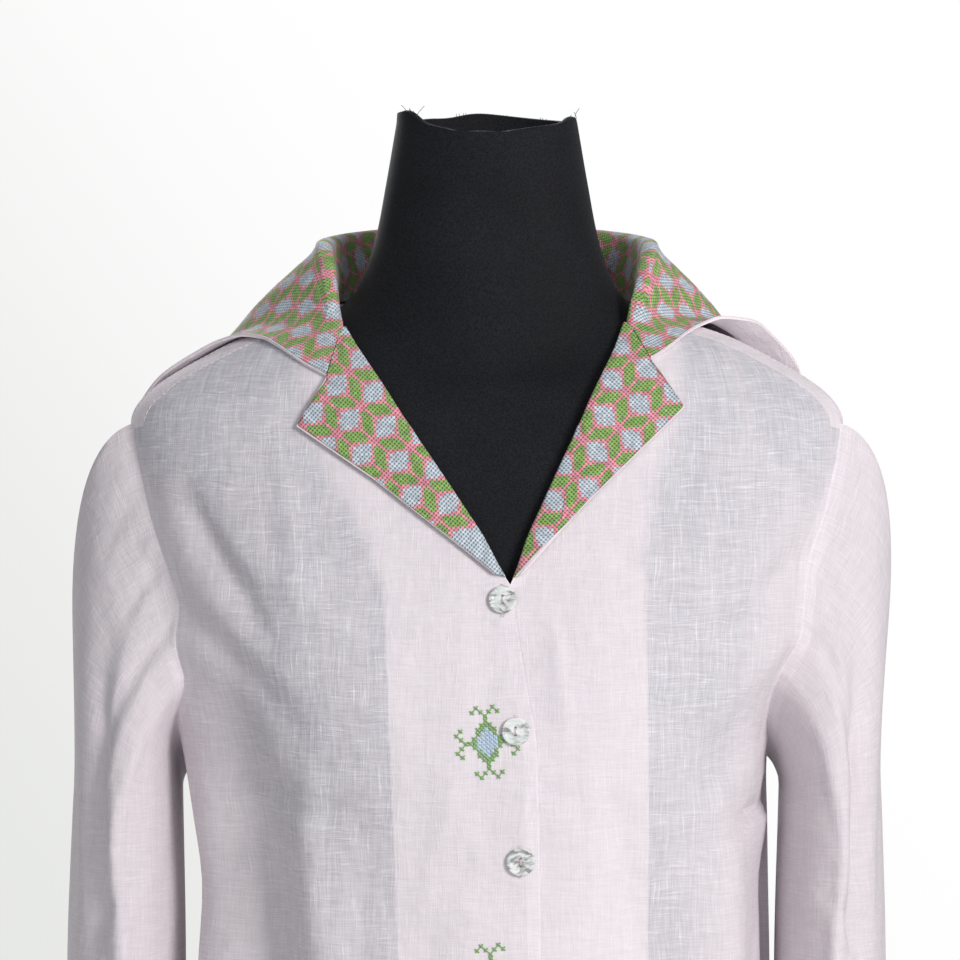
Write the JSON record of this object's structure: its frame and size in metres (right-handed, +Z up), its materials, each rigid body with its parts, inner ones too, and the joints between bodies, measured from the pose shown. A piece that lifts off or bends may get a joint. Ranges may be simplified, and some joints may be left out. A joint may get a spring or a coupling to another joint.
{
  "type": "linen shirt on limbless dress form",
  "caption": "Long-sleeved button-front shirt with a wide notched collar and turned-out stitched lapels, worn open at the neck on a flat-based torso form.",
  "frame": {"origin": "on the flat underside of the dress form, at the middle of its base", "axes": "+Z up along the form, -Y towards the shirt's buttoned front, +X towards the wearer's left"},
  "size_m": [0.4852, 0.2704, 0.856],
  "materials": {
    "pink_linen": "plain-woven fine linen, semi-sheer",
    "stitched_band": "counted stitching on linen",
    "black_jersey": "matte stretched jersey",
    "shell": "polished mother-of-pearl"
  },
  "bodies": {
    "root": {"dress_form": "black_jersey", "front_right": "pink_linen", "front_left": "pink_linen", "back": "pink_linen", "sleeve_right": "pink_linen", "sleeve_left": "pink_linen", "under_collar": "pink_linen", "upper_collar": "stitched_band", "lapel_right": "stitched_band", "lapel_left": "stitched_band", "button_1": "shell", "button_2": "shell", "button_3": "shell", "button_4": "shell", "button_5": "shell", "button_6": "shell"}
  },
  "joints": []
}
